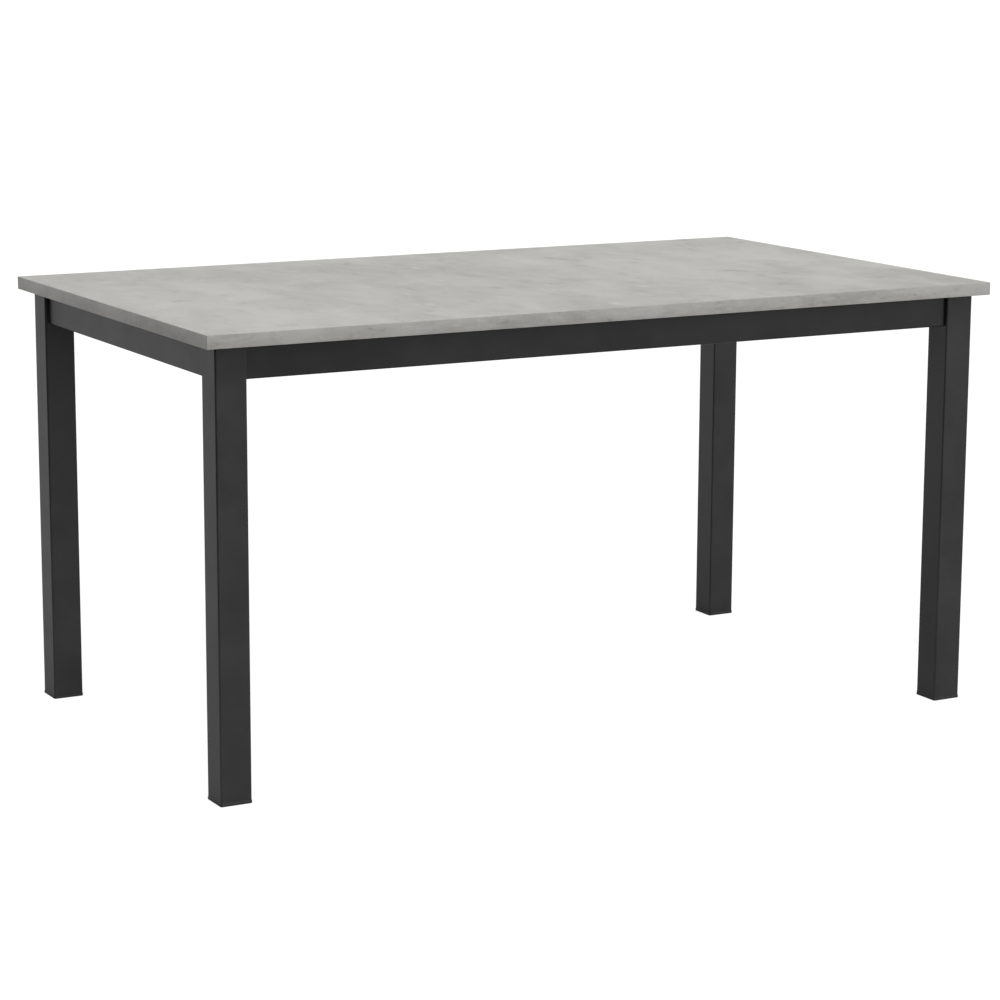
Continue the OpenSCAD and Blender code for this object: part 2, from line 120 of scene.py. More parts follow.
def printConcrete(tree, place, look):
    clouds = addNode(tree, "TexNoise", values={
        "Vector": place, "Scale": 1 / look["cloudSize"], "Detail": 3, "Roughness": 0.5})
    blotches = addNode(tree, "TexNoise", values={
        "Vector": place, "Scale": 1 / look["blotchSize"], "Detail": 6, "Roughness": 0.6,
        "Distortion": 0.5})
    mottle = addNode(tree, "TexNoise", values={
        "Vector": place, "Scale": 1 / look["mottleSize"], "Detail": 5, "Roughness": 0.62})
    grain = addNode(tree, "TexNoise", values={
        "Vector": place, "Scale": 1 / look["grainSize"], "Detail": 2, "Roughness": 0.6})
    tone = addNode(tree, "Mix", values={0: look["blotchShare"], 2: clouds, 3: blotches})
    tone = addNode(tree, "Mix", values={0: look["mottleShare"], 2: tone, 3: mottle})
    tone = addNode(tree, "Mix", values={0: look["grainShare"], 2: tone, 3: grain})
    colour = addNode(tree, "ValToRGB", values={"Fac": tone}, stops=[
        (look["tones"][0], toLinear(look["dark"])), (look["tones"][1], toLinear(look["light"]))])
    # stains are small and gather where the blotches are dark, and pale flecks lie between them
    spots = addNode(tree, "TexNoise", values={
        "Vector": place, "Scale": 1 / look["stainSize"], "Detail": 3, "Roughness": 0.5, "Distortion": 0.2})
    stains = addNode(tree, "MapRange", values={
        "Value": spots, "From Min": look["stainFrom"], "From Max": look["stainTo"],
        "To Min": 0, "To Max": look["stainStrength"]})
    gathered = addNode(tree, "MapRange", values={
        "Value": blotches, "From Min": look["tones"][0], "From Max": look["tones"][1],
        "To Min": 1, "To Max": look["stainOnLight"]})
    stains = addNode(tree, "Math", {"operation": "MULTIPLY"}, {0: stains, 1: gathered})
    flecks = addNode(tree, "MapRange", values={
        "Value": spots, "From Min": look["fleckFrom"], "From Max": look["fleckTo"],
        "To Min": 0, "To Max": look["fleckStrength"]})
    for share, spotColour in ((stains, look["stain"]), (flecks, look["fleck"])):
        colour = addNode(tree, "Mix", {"data_type": "RGBA"}, {
            0: share, 6: colour, 7: toLinear(spotColour)})
    height = addNode(tree, "Math", {"operation": "SUBTRACT"}, {0: grain, 1: stains})
    sheen = addNode(tree, "MapRange", values={
        "Value": mottle, "From Min": noiseLow, "From Max": noiseHigh,
        "To Min": look["roughness"][0], "To Max": look["roughness"][1]})
    return colour, height, sheen


def makeConcreteBoard(name, shift):
    material, tree, shader, coords = startMaterial(name)
    place = addNode(tree, "Mapping", values={
        "Vector": coords.outputs["Object"], "Location": shift, "Scale": concreteLook["stretch"]})
    colour, height, sheen = printConcrete(tree, place, concreteLook)
    fibres = addNode(tree, "TexNoise", values={
        "Vector": place, "Scale": 1 / boardBack["fibreSize"], "Detail": 3, "Roughness": 0.6})
    film = addNode(tree, "Mix", {"data_type": "RGBA"}, {
        0: fibres, 6: toLinear(boardBack["film"]), 7: toLinear(boardBack["filmShade"])})
    chips = addNode(tree, "TexVoronoi", values={"Vector": place, "Scale": 1 / boardBack["chipSize"]})
    chip = addNode(tree, "Mix", {"data_type": "RGBA"}, {
        0: chips, 6: toLinear(boardBack["chip"]), 7: toLinear(boardBack["chipDark"])})
    # which way the face points, along the board's own thickness, chooses print, chipboard or film
    facing = addNode(tree, "SeparateXYZ", values={"Vector": coords.outputs["Normal"]}).outputs["Z"]
    isFilm = addNode(tree, "Math", {"operation": "LESS_THAN"}, {0: facing, 1: -boardBack["flatFrom"]})
    isPrint = addNode(tree, "Math", {"operation": "GREATER_THAN"}, {0: facing, 1: boardBack["flatFrom"]})
    under = addNode(tree, "Mix", {"data_type": "RGBA"}, {0: isFilm, 6: chip, 7: film})
    colour = addNode(tree, "Mix", {"data_type": "RGBA"}, {0: isPrint, 6: under, 7: colour})
    bump = addNode(tree, "Bump", values={"Height": height, "Distance": concreteLook["embossDepth"]})
    wireShader(tree, shader, {
        "Base Color": colour.outputs[2], "Roughness": sheen.outputs[0], "Normal": bump.outputs[0]})
    return material


def makeEdging(name, turn):
    material, tree, shader, coords = startMaterial(name)
    place = addNode(tree, "Mapping", values={
        "Vector": coords.outputs["Object"], "Rotation": (0, 0, turn), "Scale": edgingLook["stretch"],
        "Location": edgingLook["shift"]})
    colour, height, sheen = printConcrete(tree, place, edgingLook)
    bump = addNode(tree, "Bump", values={"Height": height, "Distance": edgingLook["embossDepth"]})
    wireShader(tree, shader, {
        "Base Color": colour.outputs[2], "Roughness": sheen.outputs[0], "Normal": bump.outputs[0]})
    return material


# ---- steel, plastics, rubber and felt ----

# Polyester powder coat baked on steel: near black and satin, with a fine leathery skin from the
# powder's flow and a slightly uneven sheen. The long aprons' copy of the coat is drawn darker:
# painted shade for the shadow under the top's overhang.
powderLook = {
    "colour": "#202020", "thin": "#272727", "apronShadedColour": "#121212", "apronShadedThin": "#181818",
    "hazeSize": 90 * mm, "waveSize": 6 * mm,
    "skinSize": 1.1 * mm,    # real orange peel is about half this, drawn coarser so that it shows
    "skinDepth": 0.02 * mm, "skinShare": 0.3, "waveShare": 0.6, "tones": (0.38, 0.62),
    "roughness": (0.30, 0.38),
}


def makePowderCoat(name, dark, light):
    material, tree, shader, coords = startMaterial(name)
    place = coords.outputs["Object"]
    skin = addNode(tree, "TexNoise", values={
        "Vector": place, "Scale": 1 / powderLook["skinSize"], "Detail": 2, "Roughness": 0.55})
    wave = addNode(tree, "TexNoise", values={
        "Vector": place, "Scale": 1 / powderLook["waveSize"], "Detail": 2, "Roughness": 0.5})
    haze = addNode(tree, "TexNoise", values={
        "Vector": place, "Scale": 1 / powderLook["hazeSize"], "Detail": 3, "Roughness": 0.55})
    tone = addNode(tree, "Mix", values={0: powderLook["skinShare"], 2: haze, 3: skin})
    colour = addNode(tree, "ValToRGB", values={"Fac": tone}, stops=[
        (powderLook["tones"][0], toLinear(dark)), (powderLook["tones"][1], toLinear(light))])
    sheen = addNode(tree, "MapRange", values={
        "Value": haze, "From Min": noiseLow, "From Max": noiseHigh,
        "To Min": powderLook["roughness"][0], "To Max": powderLook["roughness"][1]})
    height = addNode(tree, "Mix", values={0: powderLook["waveShare"], 2: skin, 3: wave})
    bump = addNode(tree, "Bump", values={"Height": height, "Distance": powderLook["skinDepth"]})
    wireShader(tree, shader, {
        "Base Color": colour.outputs[0], "Roughness": sheen.outputs[0], "Normal": bump.outputs[0]})
    return material


# Moulded parts: the fine spark-eroded grain of the mould, and faint flow marks from the gate.
mouldedLooks = {
    "mouldedPolypropylene": {"colour": "#171717", "pale": "#222222", "grainSize": 0.9 * mm,
                             "grainDepth": 0.04 * mm, "roughness": 0.5, "ior": 1.49},
    "mouldedNylon": {"colour": "#cfcbbd", "pale": "#e2dfd3", "grainSize": 1.5 * mm,
                     "grainDepth": 0.01 * mm, "roughness": 0.4, "ior": 1.53},
    "mouldedRubber": {"colour": "#141414", "pale": "#232323", "grainSize": 1.0 * mm,
                      "grainDepth": 0.06 * mm, "roughness": 0.78, "ior": 1.52},
}
mouldFlow = {"size": 16 * mm, "grainShare": 0.4, "tones": (0.38, 0.62), "sheenSpread": 0.05}


def makeMoulded(name):
    look = mouldedLooks[name]
    material, tree, shader, coords = startMaterial(name)
    place = coords.outputs["Object"]
    grain = addNode(tree, "TexNoise", values={
        "Vector": place, "Scale": 1 / look["grainSize"], "Detail": 2, "Roughness": 0.6})
    flow = addNode(tree, "TexNoise", values={
        "Vector": place, "Scale": 1 / mouldFlow["size"], "Detail": 3, "Roughness": 0.5, "Distortion": 0.6})
    tone = addNode(tree, "Mix", values={0: mouldFlow["grainShare"], 2: flow, 3: grain})
    colour = addNode(tree, "ValToRGB", values={"Fac": tone}, stops=[
        (mouldFlow["tones"][0], toLinear(look["colour"])),
        (mouldFlow["tones"][1], toLinear(look["pale"]))])
    sheen = addNode(tree, "MapRange", values={
        "Value": flow, "From Min": noiseLow, "From Max": noiseHigh,
        "To Min": look["roughness"] - mouldFlow["sheenSpread"],
        "To Max": look["roughness"] + mouldFlow["sheenSpread"]})
    bump = addNode(tree, "Bump", values={"Height": grain, "Distance": look["grainDepth"]})
    shader.inputs["IOR"].default_value = look["ior"]
    wireShader(tree, shader, {
        "Base Color": colour.outputs[0], "Roughness": sheen.outputs[0], "Normal": bump.outputs[0]})
    return material


# Zinc on steel: crystal spangle on hot-dipped sheet, a fine even grey on plated fixings, and a
# blue-grey temper skin on spring steel.
zincLooks = {
    "galvanisedSheet": {"dark": "#8a8d90", "light": "#abaeb1", "spangleSize": 9 * mm, "roughness": 0.42},
    "zincPlatedSteel": {"dark": "#a0a3a7", "light": "#c2c5c8", "spangleSize": 2 * mm, "roughness": 0.3},
    "temperedSpringSteel": {"dark": "#5d6168", "light": "#80848b", "spangleSize": 5 * mm,
                            "roughness": 0.34},
}
zincRelief = {"depth": 0.01 * mm, "stainShare": 0.5, "stainScale": 0.25, "sheenSpread": 0.08}


def makeZinc(name):
    look = zincLooks[name]
    material, tree, shader, coords = startMaterial(name)
    place = coords.outputs["Object"]
    spangle = addNode(tree, "TexVoronoi", values={"Vector": place, "Scale": 1 / look["spangleSize"]})
    cells = addNode(tree, "SeparateColor", values={"Color": spangle.outputs["Color"]})
    stain = addNode(tree, "TexNoise", values={
        "Vector": place, "Scale": zincRelief["stainScale"] / look["spangleSize"], "Detail": 4,
        "Roughness": 0.6})
    tone = addNode(tree, "Mix", values={0: zincRelief["stainShare"], 2: cells, 3: stain})
    colour = addNode(tree, "Mix", {"data_type": "RGBA"}, {
        0: tone, 6: toLinear(look["dark"]), 7: toLinear(look["light"])})
    sheen = addNode(tree, "MapRange", values={
        "Value": tone, "From Min": 0.2, "From Max": 0.8,
        "To Min": look["roughness"] + zincRelief["sheenSpread"],
        "To Max": look["roughness"] - zincRelief["sheenSpread"]})
    shader.inputs["Metallic"].default_value = 1.0
    bump = addNode(tree, "Bump", values={"Height": tone, "Distance": zincRelief["depth"]})
    wireShader(tree, shader, {
        "Base Color": colour.outputs[2], "Roughness": sheen.outputs[0], "Normal": bump.outputs[0]})
    return material


# Pressed wool felt: short tangled fibres, so it is soft, patchy and quite matt.
feltLook = {"dark": "#25272a", "light": "#5a5d61", "fibreSize": 1.2 * mm, "tuftSize": 5 * mm,
            "fibreDepth": 0.3 * mm, "stretch": (1, 0.4, 1), "tuftShare": 0.35,
            "roughness": 0.95, "fuzz": 0.4}


def makeFelt(name):
    material, tree, shader, coords = startMaterial(name)
    place = addNode(tree, "Mapping", values={
        "Vector": coords.outputs["Object"], "Scale": feltLook["stretch"]})
    fibres = addNode(tree, "TexNoise", values={
        "Vector": place, "Scale": 1 / feltLook["fibreSize"], "Detail": 5, "Roughness": 0.7,
        "Distortion": 2.5})
    tufts = addNode(tree, "TexNoise", values={
        "Vector": place, "Scale": 1 / feltLook["tuftSize"], "Detail": 3, "Roughness": 0.6})
    tone = addNode(tree, "Mix", values={0: feltLook["tuftShare"], 2: fibres, 3: tufts})
    colour = addNode(tree, "Mix", {"data_type": "RGBA"}, {
        0: tone, 6: toLinear(feltLook["dark"]), 7: toLinear(feltLook["light"])})
    bump = addNode(tree, "Bump", values={"Height": fibres, "Distance": feltLook["fibreDepth"]})
    shader.inputs["Roughness"].default_value = feltLook["roughness"]
    shader.inputs["Sheen Weight"].default_value = feltLook["fuzz"]
    wireShader(tree, shader, {"Base Color": colour.outputs[2], "Normal": bump.outputs[0]})
    return material


concreteTop = makeConcreteBoard("concreteMelamineTop", (0, 0, 0))
concreteLeaves = {"front": makeConcreteBoard("concreteMelamineFrontLeaf", (5.3, 2.1, 0)),
                  "back": makeConcreteBoard("concreteMelamineBackLeaf", (9.7, 6.4, 0))}
edgingAlong = makeEdging("absEdgingLong", 0)
edgingAcross = makeEdging("absEdgingShort", math.pi / 2)
powderCoat = makePowderCoat("polyesterPowderCoat", powderLook["colour"], powderLook["thin"])
# the aprons' darker copy of the coat is painted shade for the shadow under the top's overhang
apronPaintedShadeCoat = makePowderCoat("polyesterPowderCoatApronsPaintedShade", powderLook["apronShadedColour"], powderLook["apronShadedThin"])
polypropylene, nylon, rubber = [makeMoulded(name) for name in mouldedLooks]
galvanised, zincPlate, springSteel = [makeZinc(name) for name in zincLooks]
pressedFelt = makeFelt("pressedWoolFelt")
print("materials made:", len(bpy.data.materials))

slotPaint = {
    "concrete_melamine": concreteTop, "edging": edgingAlong, "powder_coat": powderCoat,
    "foot_plastic": polypropylene, "galvanised_steel": galvanised, "zinc_fixings": zincPlate,
    "spring_steel": springSteel, "nylon": nylon, "rubber": rubber, "felt": pressedFelt,
}
paintedNodes = {part["node"]: slotPaint[part["material_slot"]] for part in frame["record"]["subparts"]}
paintedNodes["leaf_front_board"] = concreteLeaves["front"]
paintedNodes["leaf_back_board"] = concreteLeaves["back"]
for nodeName in ("apron_front", "apron_back"):
    paintedNodes[nodeName] = apronPaintedShadeCoat   # painted shade: a darker copy of the legs' coat stands for the shadow under the top's overhang
for nodeName, material in paintedNodes.items():
    mesh = frame["nodes"][nodeName].data
    mesh.materials.clear()
    mesh.materials.append(material)
print("CAD nodes painted:", len(paintedNodes))

# Cut, bent and moulded parts have no razor edges: each gets a small round of its own width.
arrises = {
    "apron": 0.5 * mm, "brace": 0.4 * mm, "bracket": 0.7 * mm, "top_lugs": 0.5 * mm,
    "channel_front": 0.45 * mm, "channel_back": 0.45 * mm, "guide": 0.5 * mm, "end_apron": 0.4 * mm,
    "rail_front": 0.35 * mm, "rail_back": 0.35 * mm, "slider": 0.8 * mm, "leaf_spacers": 1.0 * mm,
    "leaf_front_pads": 1.2 * mm, "leaf_back_pads": 1.2 * mm, "clip_felts": 0.8 * mm,
}
arrisSegments, arrisAngle = 2, 40
for nodeName, node in frame["nodes"].items():
    width = next((w for start, w in arrises.items() if nodeName.startswith(start)), 0)
    if not width:
        continue
    weld = node.modifiers.new("joinTriangles", "WELD")
    weld.merge_threshold = tiny
    rounding = node.modifiers.new("arris", "BEVEL")
    rounding.width = width
    rounding.segments = arrisSegments
    rounding.limit_method = "ANGLE"
    rounding.angle_limit = math.radians(arrisAngle)
    rounding.harden_normals = True
print("arrises rounded")


# ---- meshing tools ----

def addBlock(bm, low, high):
    verts = bmesh.ops.create_cube(bm, size=1)["verts"]
    low, high = Vector(low), Vector(high)
    bmesh.ops.scale(bm, vec=high - low, verts=verts)
    bmesh.ops.translate(bm, vec=(low + high) / 2, verts=verts)


def roundEdges(bm, edges, radius, segments=3):
    # three segments do for a small round
    return bmesh.ops.bevel(bm, geom=edges, offset=radius, offset_type="OFFSET", segments=segments,
                           profile=0.5, affect="EDGES", clamp_overlap=True, material=-1)


def addCopy(bm, part):
    # adds a small mesh to the piece's own, and frees it
    scratch = bpy.data.meshes.new("scratch")
    part.to_mesh(scratch)
    part.free()
    bm.from_mesh(scratch)
    bpy.data.meshes.remove(scratch)


def finishPiece(name, bm, material, body, standsFor=(), sharpAngle=38):
    bmesh.ops.recalc_face_normals(bm, faces=bm.faces)
    mesh = bpy.data.meshes.new(name)
    bm.to_mesh(mesh)
    bm.free()
    mesh.shade_smooth()
    mesh.set_sharp_from_angle(angle=math.radians(sharpAngle))
    mesh.materials.append(material)
    piece = bpy.data.objects.new(name, mesh)
    bpy.context.scene.collection.objects.link(piece)
    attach(piece, body)
    if standsFor:
        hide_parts(*standsFor)


def solidsOf(nodeName):
    # the vertices of each separate solid in a CAD node, from a merged copy of its mesh
    bm = bmesh.new()
    bm.from_mesh(frame["nodes"][nodeName].data)
    bmesh.ops.remove_doubles(bm, verts=bm.verts, dist=tiny / 10)  # solids stand 0.01 mm apart
    left, solids = set(bm.verts), []
    while left:
        reached = {left.pop()}
        rim = set(reached)
        while rim:
            rim = {e.other_vert(v) for v in rim for e in v.link_edges} - reached
            reached |= rim
        left -= reached
        solids.append([v.co.copy() for v in reached])
    bm.free()
    return sorted(solids, key=lambda points: tuple(round(c, 4) for c in cornersOf(points)[0]))


def cornersOf(points):
    return (Vector([min(p[i] for p in points) for i in range(3)]),
            Vector([max(p[i] for p in points) for i in range(3)]))


# ---- edging strips ----

edging = {"arris": 0.45 * mm, "segments": 3, "nearFace": 0.1 * mm}


def makeStrip(name, low, high, outwards, body, standsFor):
    # a strip whose outer arrises are scraped round after it is glued on
    bm = bmesh.new()
    addBlock(bm, low, high)
    axis = 0 if abs(outwards.x) > 0.5 else 1
    face = high[axis] if outwards[axis] > 0 else low[axis]
    outer = [e for e in bm.edges if all(abs(v.co[axis] - face) < edging["nearFace"] for v in e.verts)]
    roundEdges(bm, outer, edging["arris"], edging["segments"])
    finishPiece(name, bm, edgingAlong if axis else edgingAcross, body, standsFor)


def makeStrips(nodeName, centre, body):
    # the table's edging has a node for each strip, a leaf's has one node for all four
    solids = solidsOf(nodeName)
    for count, solid in enumerate(solids):
        low, high = cornersOf(solid)
        middle = (low + high) / 2 - centre
        if high.x - low.x > high.y - low.y:
            outwards = Vector((0, middle.y, 0)).normalized()
            side = "Back" if middle.y > 0 else "Front"
        else:
            outwards = Vector((middle.x, 0, 0)).normalized()
            side = "Right" if middle.x > 0 else "Left"
        name = nodeName.replace("_", ".") + (side if len(solids) > 1 else "")
        makeStrip(name, low, high, outwards, body, () if count else [nodeName])


for side in ("front", "back", "left", "right"):
    makeStrips("edging_" + side, Vector((0, 0, 0)), "frame")
for side in ("front", "back"):
    low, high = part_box("leaf_" + side + "_board")
    makeStrips("leaf_" + side + "_edging", (Vector(low) + Vector(high)) / 2, "leaf_" + side)
print("edging made")


# ---- feet ----

foot = {"rimHeight": 5 * mm, "cornerRadius": 3.8 * mm, "cornerSegments": 6, "arris": 0.8 * mm,
        "soleInset": 6 * mm, "soleDepth": 1.2 * mm, "soleSlope": 0.8 * mm}


def makeFoot(side):
    # a moulded insert: only its rim shows, with a shallow recess underneath
    low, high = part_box("foot_" + side)
    top = low[2] + foot["rimHeight"]
    bm = bmesh.new()
    addBlock(bm, low, (high[0], high[1], top))
    upright = [e for e in bm.edges if abs(e.verts[0].co.z - e.verts[1].co.z) > tiny]
    roundEdges(bm, upright, foot["cornerRadius"], foot["cornerSegments"])
    rims = [e for e in bm.edges if abs(e.verts[0].co.z - e.verts[1].co.z) < tiny]
    roundEdges(bm, rims, foot["arris"])
    sole = [min(bm.faces, key=lambda f: f.calc_center_median().z)]
    bmesh.ops.inset_region(bm, faces=sole, thickness=foot["soleInset"], depth=0)
    bmesh.ops.inset_region(bm, faces=sole, thickness=foot["soleSlope"], depth=-foot["soleDepth"])
    finishPiece("foot." + side, bm, polypropylene, "frame", ["foot_" + side])


for side in ("front_left", "front_right", "back_left", "back_right"):
    makeFoot(side)
print("feet made")


# ---- bolts and screws ----

fixing = {"sides": 24, "socketAcross": 4 * mm, "socketDepth": 1.8 * mm, "crossLength": 4.4 * mm,
          "crossWidth": 1.1 * mm, "crossDepth": 1.4 * mm, "domeShare": 0.55, "crownInset": 0.12,
          "socketTaper": 0.8, "shankSides": 12, "sharpAngle": 30}


def outlineOf(kind):
    # a driver's outline, corner by corner, anticlockwise
    if kind == "socket":
        radius = fixing["socketAcross"] / math.sqrt(3)
        return [Vector((radius * math.cos(k * math.pi / 3), radius * math.sin(k * math.pi / 3)))
                for k in range(6)]
    long, half = fixing["crossLength"] / 2, fixing["crossWidth"] / 2
    arm = [Vector((long, -half)), Vector((long, half)), Vector((half, half))]
    return [Matrix.Rotation(k * math.pi / 2, 2) @ corner for k in range(4) for corner in arm]


def addFixing(bm, kind, points):
    # the head and shank are read from the CAD solid: it turns about the axis that differs from the
    # other two, and the wide end is the head
    low, high = cornersOf(points)
    middle = (low + high) / 2
    size = high - low
    axis = max(range(3), key=lambda i: min(abs(size[i] - size[j]) for j in range(3) if j != i))
    ends = []
    for level in (low[axis], high[axis]):
        rim = [p for p in points if abs(p[axis] - level) < tiny]
        ends.append(max((p - middle).length_squared - (p[axis] - middle[axis]) ** 2 for p in rim) ** 0.5)
    headAtLow = ends[0] > ends[1]
    headRadius, shankRadius = max(ends), min(ends)
    levels = sorted({round(p[axis], 6) for p in points})
    headHeight = levels[1] - levels[0] if headAtLow else levels[-1] - levels[-2]
    sides = fixing["sides"]
    made = bmesh.ops.create_cone(bm, cap_ends=True, segments=sides, radius1=headRadius,
                                 radius2=headRadius, depth=headHeight)["verts"]
    bmesh.ops.translate(bm, vec=(0, 0, -headHeight / 2), verts=made)
    rim = [e for e in {e for v in made for e in v.link_edges}
           if all(abs(v.co.z + headHeight) < tiny for v in e.verts)]
    dome = roundEdges(bm, rim, headHeight * fixing["domeShare"])
    made = [v for v in made if v.is_valid] + dome["verts"]
    crown = min({f for v in made for f in v.link_faces}, key=lambda f: f.calc_center_median().z)
    bmesh.ops.inset_region(bm, faces=[crown], thickness=headRadius * fixing["crownInset"], depth=0)
    ring = sorted(crown.verts, key=lambda v: math.atan2(v.co.y, v.co.x) % (2 * math.pi))
    outline = outlineOf(kind)
    perSide = sides // len(outline)
    for k, vert in enumerate(ring):
        start, stop = outline[k // perSide], outline[(k // perSide + 1) % len(outline)]
        spot = start.lerp(stop, (k % perSide) / perSide)
        vert.co.x, vert.co.y = spot
    deep = bmesh.ops.extrude_discrete_faces(bm, faces=[crown])["faces"][0]
    depth = fixing["socketDepth"] if kind == "socket" else fixing["crossDepth"]
    bmesh.ops.translate(bm, vec=(0, 0, depth), verts=deep.verts)
    bmesh.ops.scale(bm, vec=(fixing["socketTaper"], fixing["socketTaper"], 1), verts=deep.verts)
    shankLength = size[axis] - headHeight
    shank = bmesh.ops.create_cone(bm, cap_ends=True, segments=fixing["shankSides"],
                                  radius1=shankRadius, radius2=shankRadius,
                                  depth=shankLength)["verts"]
    bmesh.ops.translate(bm, vec=(0, 0, shankLength / 2), verts=shank)
    return headAtLow, axis, headHeight, middle, low, high


def makeFixings(name, nodeName, kind, body):
    bm = bmesh.new()
    for points in solidsOf(nodeName):
        part = bmesh.new()
        headAtLow, axis, headHeight, middle, low, high = addFixing(part, kind, points)
        along = Vector([1 if i == axis else 0 for i in range(3)]) * (1 if headAtLow else -1)
        seat = middle.copy()
        seat[axis] = low[axis] + headHeight if headAtLow else high[axis] - headHeight
        turn = Vector((0, 0, 1)).rotation_difference(along).to_matrix().to_4x4()
        bmesh.ops.transform(part, matrix=Matrix.Translation(seat) @ turn, verts=part.verts)
        addCopy(bm, part)
    finishPiece(name, bm, zincPlate, body, [nodeName], fixing["sharpAngle"])


for name, nodeName, kind, body in (
        ("frame.buttonBolts", "frame_bolts", "socket", "frame"),
        ("rail.stopBolts", "rail_stops", "socket", "frame"),
        ("left.buttonBolts", "end_bolts_left", "socket", "frame_left"),
        ("right.buttonBolts", "end_bolts_right", "socket", "frame_right"),
        ("lug.crossScrews", "top_screws", "cross", "frame"),
        ("channel.crossScrews", "channel_screws", "cross", "frame"),
        ("clip.crossScrews", "clip_screws", "cross", "frame"),
        ("spacer.crossScrews", "spacer_screws", "cross", "frame")):
    makeFixings(name, nodeName, kind, body)
print("bolts and screws made")


# ---- spring clips ----

clip = {"thickness": 1.5 * mm, "bendRadius": 3 * mm, "bendSegments": 5, "lipOut": 3 * mm,
        "lipHeight": 7 * mm, "cornerRadius": 2.5 * mm, "cornerSegments": 3, "sharpAngle": 30}


def makeClips(side):
    # one strip of spring steel, bent to a foot, a leg and a flared lip
    bm = bmesh.new()
    for points in solidsOf("clips_" + side):
        low, high = cornersOf(points)
        away = 1 if low.x > 0 else -1
        inner, outer = (low.x, high.x) if away > 0 else (high.x, low.x)
        half = clip["thickness"] / 2
        path = [(outer, high.z - half), (inner + away * half, high.z - half),
                (inner + away * half, low.z + clip["lipHeight"]),
                (inner + away * (half + clip["lipOut"]), low.z)]
        strip = bmesh.new()
        verts = [strip.verts.new((x, low.y, z)) for x, z in path]
        for a, b in zip(verts, verts[1:]):
            strip.edges.new((a, b))
        bmesh.ops.bevel(strip, geom=verts[1:3], offset=clip["bendRadius"], offset_type="OFFSET",
                        segments=clip["bendSegments"], profile=0.5, affect="VERTICES",
                        clamp_overlap=True, material=-1)
        swept = bmesh.ops.extrude_edge_only(strip, edges=strip.edges)["geom"]
        bmesh.ops.translate(strip, vec=(0, high.y - low.y, 0),
                            verts=[g for g in swept if isinstance(g, bmesh.types.BMVert)])
        bmesh.ops.recalc_face_normals(strip, faces=strip.faces)
        corners = [v for v in strip.verts if len(v.link_edges) == 2]
        bmesh.ops.bevel(strip, geom=corners, offset=clip["cornerRadius"], offset_type="OFFSET",
                        segments=clip["cornerSegments"], profile=0.5, affect="VERTICES",
                        clamp_overlap=True, material=-1)
        bmesh.ops.solidify(strip, geom=strip.faces, thickness=half)
        addCopy(bm, strip)
    finishPiece("clip." + side, bm, springSteel, "frame", ["clips_" + side],
                clip["sharpAngle"])


for side in ("left", "right"):
    makeClips(side)
print("clips made")


# ---- weld beads and tube plugs ----

weld = {"radius": 1.5 * mm, "ripple": 1.6 * mm, "swell": 1.16, "tail": 0.6, "sides": 8,
        "braceInward": 0.3, "braceProud": 0.2, "braceShare": 0.8, "lugInward": 0.5,
        "lugShort": 3 * mm, "sharpAngle": 50}


def addBead(bm, start, stop):
    # a fillet of weld metal, rippled where each drop froze
    start, stop = Vector(start), Vector(stop)
    length = (stop - start).length
    made = bmesh.ops.create_cone(bm, cap_ends=True, segments=weld["sides"], radius1=weld["radius"],
                                 radius2=weld["radius"], depth=length)["verts"]
    turn = Vector((0, 0, 1)).rotation_difference(stop - start).to_matrix().to_4x4()
    bmesh.ops.transform(bm, matrix=Matrix.Translation((start + stop) / 2) @ turn, verts=made)
    ripples = round(length / weld["ripple"])
    # every cut is made before any ring is scaled, so that no swell is carried into the next cut
    rings = [(start, [v for v in made if (v.co - start).length < 2 * weld["radius"]], weld["tail"]),
             (stop, [v for v in made if (v.co - stop).length < 2 * weld["radius"]], weld["tail"])]
    for k in range(1, ripples):
        spot = start.lerp(stop, k / ripples)
        part = {e for v in made for e in v.link_edges} | {f for v in made for f in v.link_faces}
        cut = bmesh.ops.bisect_plane(bm, geom=list(part) + made, plane_co=spot,
                                     plane_no=stop - start)["geom_cut"]
        ring = [g for g in cut if isinstance(g, bmesh.types.BMVert)]
        rings.append((spot, ring, weld["swell"] if k % 2 else 1))
        made += ring
    for spot, ring, girth in rings:
        bmesh.ops.scale(bm, vec=(girth,) * 3, space=Matrix.Translation(-spot), verts=ring)


def makeBeads():
    bm = bmesh.new()
    for side in ("left", "right"):
        low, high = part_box("brace_" + side)
        middle, half = (low[0] + high[0]) / 2, (high[2] - low[2]) / 2
        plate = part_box("bracket_front_" + side)[1][1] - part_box("apron_front")[1][1]
        for end in (low[1] + plate, high[1] - plate):
            inward = -math.copysign(weld["braceInward"] * weld["radius"], end)
            proud = weld["braceProud"] * weld["radius"]
            reach = weld["braceShare"] * half
            for level in (low[2] - proud, high[2] + proud):
                addBead(bm, (middle - reach, end + inward, level), (middle + reach, end + inward, level))
    for points in solidsOf("top_lugs"):
        low, high = cornersOf(points)
        wall = high.y if high.y > 0 and abs(high.y) > abs(low.y) else low.y
        inward = -math.copysign(weld["lugInward"] * weld["radius"], wall)
        addBead(bm, (low.x + weld["lugShort"], wall + inward, low.z),
                (high.x - weld["lugShort"], wall + inward, low.z))
    finishPiece("frame.weldBeads", bm, powderCoat, "frame", (), weld["sharpAngle"])


makeBeads()

plug = {"wall": 1.5 * mm, "gap": 0.1 * mm, "depth": 9 * mm, "sunk": 0.2 * mm, "round": 1.0 * mm,
        "dishInset": 2.5 * mm, "dishDepth": 0.8 * mm}


